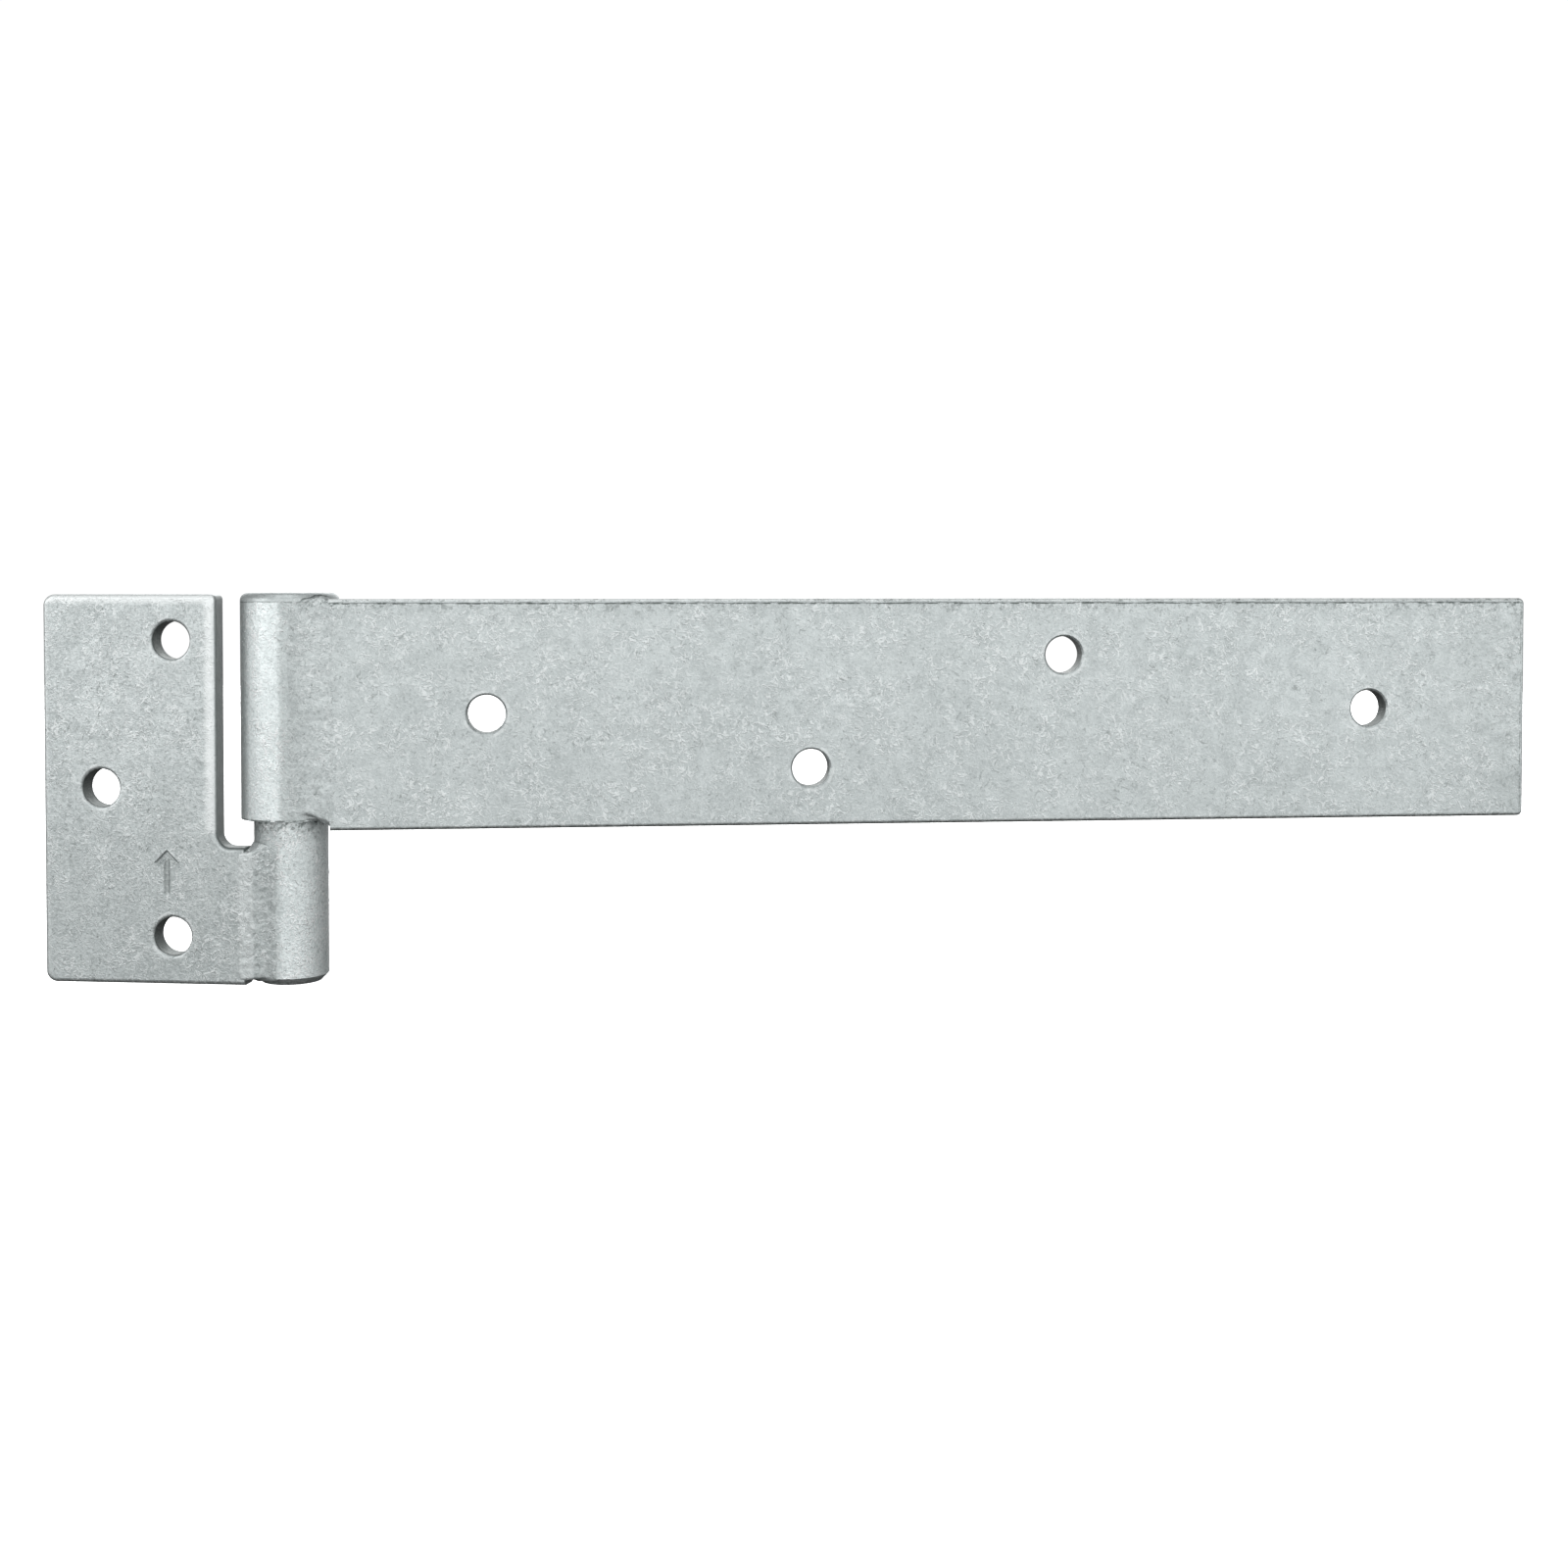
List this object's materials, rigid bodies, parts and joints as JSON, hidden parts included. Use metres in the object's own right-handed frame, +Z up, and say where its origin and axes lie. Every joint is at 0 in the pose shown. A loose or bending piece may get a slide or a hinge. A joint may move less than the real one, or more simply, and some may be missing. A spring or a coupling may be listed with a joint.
{
  "type": "t hinge",
  "caption": "Right-hand lift-off T hinge of welded, hot-dip galvanised steel: a notched frame plate with a round bar, and a long strap with a closed barrel that turns on it.",
  "frame": {"origin": "on the pin axis, at the lower end of the bar", "axes": "+Z up along the pin axis; the frame plate lies towards -X with its mounting face looking along -Y; the strap lies towards +X, 12 degrees off flat at rest"},
  "size_m": [0.328, 0.0629, 0.0853],
  "materials": {
    "plate_steel": "hot-dip galvanised, matt light grey",
    "bar_steel": "hot-dip galvanised, matt light grey",
    "barrel_steel": "hot-dip galvanised, matt light grey",
    "strap_steel": "hot-dip galvanised, matt light grey",
    "weld_metal": "weld metal under hot-dip zinc"
  },
  "bodies": {
    "frame_leaf": {"frame_plate": "plate_steel", "pivot_bar": "bar_steel", "frame_weld": "weld_metal"},
    "strap_leaf": {"barrel": "barrel_steel", "barrel_cap": "barrel_steel", "strap_plate": "strap_steel", "barrel_weld": "weld_metal"}
  },
  "joints": [
    {"name": "strap_swing", "type": "hinge", "parent": "frame_leaf", "child": "strap_leaf", "pos_m": [0, 0, 0], "axis": [0, 0, 1], "range_deg": [-119, 176]}
  ]
}
